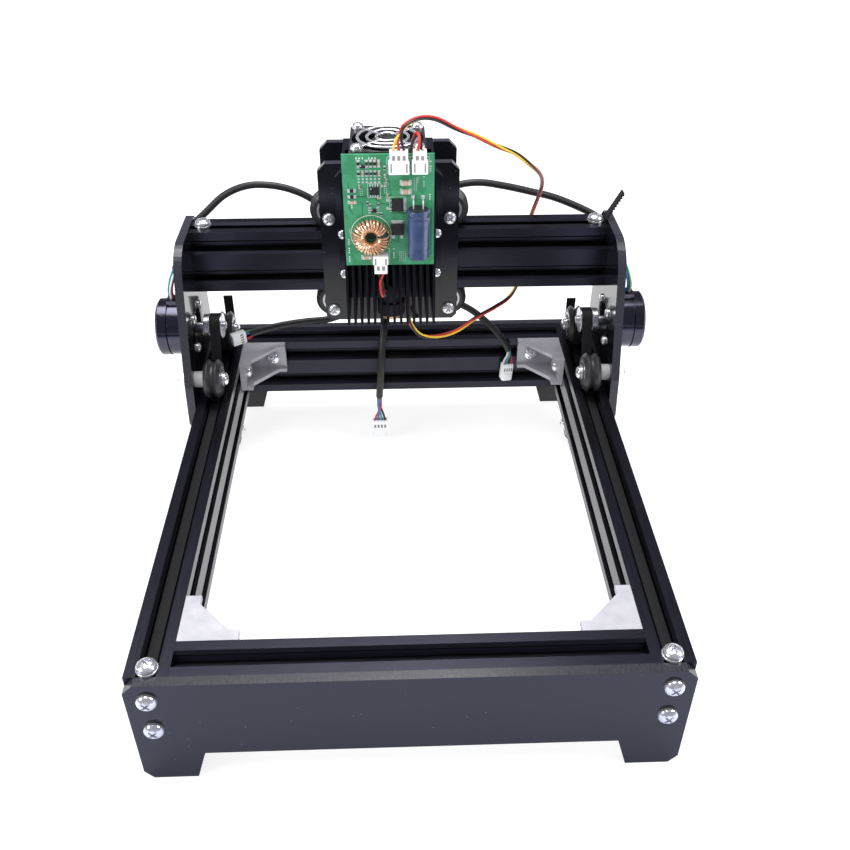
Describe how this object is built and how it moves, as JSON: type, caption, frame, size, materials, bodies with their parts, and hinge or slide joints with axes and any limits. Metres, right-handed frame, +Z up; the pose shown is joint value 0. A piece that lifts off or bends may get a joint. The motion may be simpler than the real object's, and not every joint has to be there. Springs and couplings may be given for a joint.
{
  "type": "laser engraver",
  "caption": "Desktop laser engraver: slotted-extrusion base, rolling gantry with belt drives, and a finned laser head with fan and driver board on a cross carriage.",
  "frame": {"origin": "centre of the footprint, on the floor under the feet", "axes": "+Z up, +X to the right along the gantry beam, +Y to the rear along the rails"},
  "size_m": [0.303, 0.3194, 0.2465],
  "materials": {
    "extrusion_black": "satin black anodised",
    "acrylic_black": "polished black acrylic",
    "bracket_grey": "tumbled die-cast, light grey",
    "screw_steel": "nickel-plated",
    "belt_rubber": "matte",
    "clamp_brass": "plain brass nut under a plated screw",
    "wheel_black": "satin acetal with steel bearings",
    "motor_black": "satin black",
    "spacer_white": "satin nylon",
    "pulley_aluminium": "machined",
    "heatsink_black": "black anodised",
    "lens_brass": "machined, round a coated glass lens",
    "fan_plastic": "satin moulded",
    "guard_chrome": "plated wire",
    "board_green": "green solder mask, white marks",
    "pad_foam": "closed-cell foam with adhesive faces",
    "chip_black": "moulded, tinned legs",
    "coil_copper": "enamelled copper windings",
    "capacitor_blue": "shrunk sleeve, bare aluminium top",
    "plug_white": "nylon",
    "cable_jacket": "satin PVC",
    "wire_colours": "PVC insulation in several colours"
  },
  "bodies": {
    "frame": {"left_rail": "extrusion_black", "right_rail": "extrusion_black", "front_crossbar": "extrusion_black", "rear_crossbar": "extrusion_black", "front_plate": "acrylic_black", "rear_plate": "acrylic_black", "corner_brackets": "bracket_grey", "frame_screws": "screw_steel", "y_belts": "belt_rubber", "y_belt_clamps": "clamp_brass"},
    "gantry": {"left_side_plate": "acrylic_black", "right_side_plate": "acrylic_black", "gantry_beam": "extrusion_black", "gantry_screws": "screw_steel", "left_y_motor": "motor_black", "right_y_motor": "motor_black", "rail_wheel_spacers": "spacer_white", "rail_wheel_axles": "screw_steel", "y_belt_loops": "belt_rubber", "x_belt": "belt_rubber", "left_motor_cable": "cable_jacket", "right_motor_cable": "cable_jacket", "motor_cable_plugs": "plug_white"},
    "carriage": {"carriage_front_plate": "acrylic_black", "carriage_rear_plate": "acrylic_black", "carriage_spacers": "spacer_white", "carriage_axles": "screw_steel", "carriage_screws": "screw_steel", "x_motor": "motor_black", "x_belt_loop": "belt_rubber", "laser_mount_plate": "acrylic_black", "laser_heatsink": "heatsink_black", "laser_lens_barrel": "lens_brass", "fan_housing": "fan_plastic", "fan_guard": "guard_chrome", "driver_board": "board_green", "board_pads": "pad_foam", "board_chips": "chip_black", "board_inductor": "coil_copper", "board_capacitor": "capacitor_blue", "board_connectors": "plug_white", "x_motor_cable": "cable_jacket", "x_cable_plug": "plug_white", "laser_lead": "wire_colours", "board_leads": "wire_colours"},
    "left_front_wheel": {"left_front_wheel": "wheel_black"},
    "left_rear_wheel": {"left_rear_wheel": "wheel_black"},
    "left_lower_wheel": {"left_lower_wheel": "wheel_black"},
    "right_front_wheel": {"right_front_wheel": "wheel_black"},
    "right_rear_wheel": {"right_rear_wheel": "wheel_black"},
    "right_lower_wheel": {"right_lower_wheel": "wheel_black"},
    "carriage_wheel_1": {"carriage_wheel_1": "wheel_black"},
    "carriage_wheel_2": {"carriage_wheel_2": "wheel_black"},
    "carriage_wheel_3": {"carriage_wheel_3": "wheel_black"},
    "carriage_wheel_4": {"carriage_wheel_4": "wheel_black"},
    "left_y_pulley": {"left_y_pulley": "pulley_aluminium"},
    "right_y_pulley": {"right_y_pulley": "pulley_aluminium"},
    "x_pulley": {"x_pulley": "pulley_aluminium"},
    "fan_rotor": {"fan_rotor": "fan_plastic"}
  },
  "joints": [
    {"name": "y_slide", "type": "slide", "parent": "frame", "child": "gantry", "axis": [0, 1, 0], "range_m": [-0.195, 0]},
    {"name": "x_slide", "type": "slide", "parent": "gantry", "child": "carriage", "axis": [1, 0, 0], "range_m": [-0.06, 0.074], "deforming": ["laser_lead"]},
    {"name": "fan_spin", "type": "hinge", "parent": "carriage", "child": "fan_rotor", "pos_m": [-0.0065, 0.07, 0.222], "axis": [0, 0, 1], "continuous": true},
    {"name": "left_front_wheel_spin", "type": "hinge", "parent": "gantry", "child": "left_front_wheel", "pos_m": [-0.117, 0.07, 0.0776], "axis": [1, 0, 0], "continuous": true},
    {"name": "left_rear_wheel_spin", "type": "hinge", "parent": "gantry", "child": "left_rear_wheel", "pos_m": [-0.117, 0.13, 0.0776], "axis": [1, 0, 0], "continuous": true},
    {"name": "left_lower_wheel_spin", "type": "hinge", "parent": "gantry", "child": "left_lower_wheel", "pos_m": [-0.117, 0.1, 0.0164], "axis": [1, 0, 0], "continuous": true},
    {"name": "right_front_wheel_spin", "type": "hinge", "parent": "gantry", "child": "right_front_wheel", "pos_m": [0.117, 0.07, 0.0776], "axis": [1, 0, 0], "continuous": true},
    {"name": "right_rear_wheel_spin", "type": "hinge", "parent": "gantry", "child": "right_rear_wheel", "pos_m": [0.117, 0.13, 0.0776], "axis": [1, 0, 0], "continuous": true},
    {"name": "right_lower_wheel_spin", "type": "hinge", "parent": "gantry", "child": "right_lower_wheel", "pos_m": [0.117, 0.1, 0.0164], "axis": [1, 0, 0], "continuous": true},
    {"name": "carriage_wheel_1_spin", "type": "hinge", "parent": "carriage", "child": "carriage_wheel_1", "pos_m": [-0.0425, 0.122, 0.1666], "axis": [0, 1, 0], "continuous": true},
    {"name": "carriage_wheel_2_spin", "type": "hinge", "parent": "carriage", "child": "carriage_wheel_2", "pos_m": [0.0295, 0.122, 0.1666], "axis": [0, 1, 0], "continuous": true},
    {"name": "carriage_wheel_3_spin", "type": "hinge", "parent": "carriage", "child": "carriage_wheel_3", "pos_m": [-0.0425, 0.122, 0.1054], "axis": [0, 1, 0], "continuous": true},
    {"name": "carriage_wheel_4_spin", "type": "hinge", "parent": "carriage", "child": "carriage_wheel_4", "pos_m": [0.0295, 0.122, 0.1054], "axis": [0, 1, 0], "continuous": true},
    {"name": "left_y_pulley_spin", "type": "hinge", "parent": "gantry", "child": "left_y_pulley", "pos_m": [-0.117, 0.1, 0.0983], "axis": [1, 0, 0], "continuous": true},
    {"name": "right_y_pulley_spin", "type": "hinge", "parent": "gantry", "child": "right_y_pulley", "pos_m": [0.117, 0.1, 0.0983], "axis": [1, 0, 0], "continuous": true},
    {"name": "x_pulley_spin", "type": "hinge", "parent": "carriage", "child": "x_pulley", "pos_m": [-0.0065, 0.122, 0.187], "axis": [0, 1, 0], "continuous": true}
  ],
  "couplings": [
    {"joint": "left_front_wheel_spin", "follows": "y_slide", "rad_per_m": -88.5},
    {"joint": "left_rear_wheel_spin", "follows": "y_slide", "rad_per_m": -88.5},
    {"joint": "left_lower_wheel_spin", "follows": "y_slide", "rad_per_m": 88.5},
    {"joint": "right_front_wheel_spin", "follows": "y_slide", "rad_per_m": -88.5},
    {"joint": "right_rear_wheel_spin", "follows": "y_slide", "rad_per_m": -88.5},
    {"joint": "right_lower_wheel_spin", "follows": "y_slide", "rad_per_m": 88.5},
    {"joint": "carriage_wheel_1_spin", "follows": "x_slide", "rad_per_m": 88.5},
    {"joint": "carriage_wheel_2_spin", "follows": "x_slide", "rad_per_m": 88.5},
    {"joint": "carriage_wheel_3_spin", "follows": "x_slide", "rad_per_m": -88.5},
    {"joint": "carriage_wheel_4_spin", "follows": "x_slide", "rad_per_m": -88.5},
    {"joint": "left_y_pulley_spin", "follows": "y_slide", "rad_per_m": 157.08},
    {"joint": "right_y_pulley_spin", "follows": "y_slide", "rad_per_m": 157.08},
    {"joint": "x_pulley_spin", "follows": "x_slide", "rad_per_m": -157.08}
  ]
}
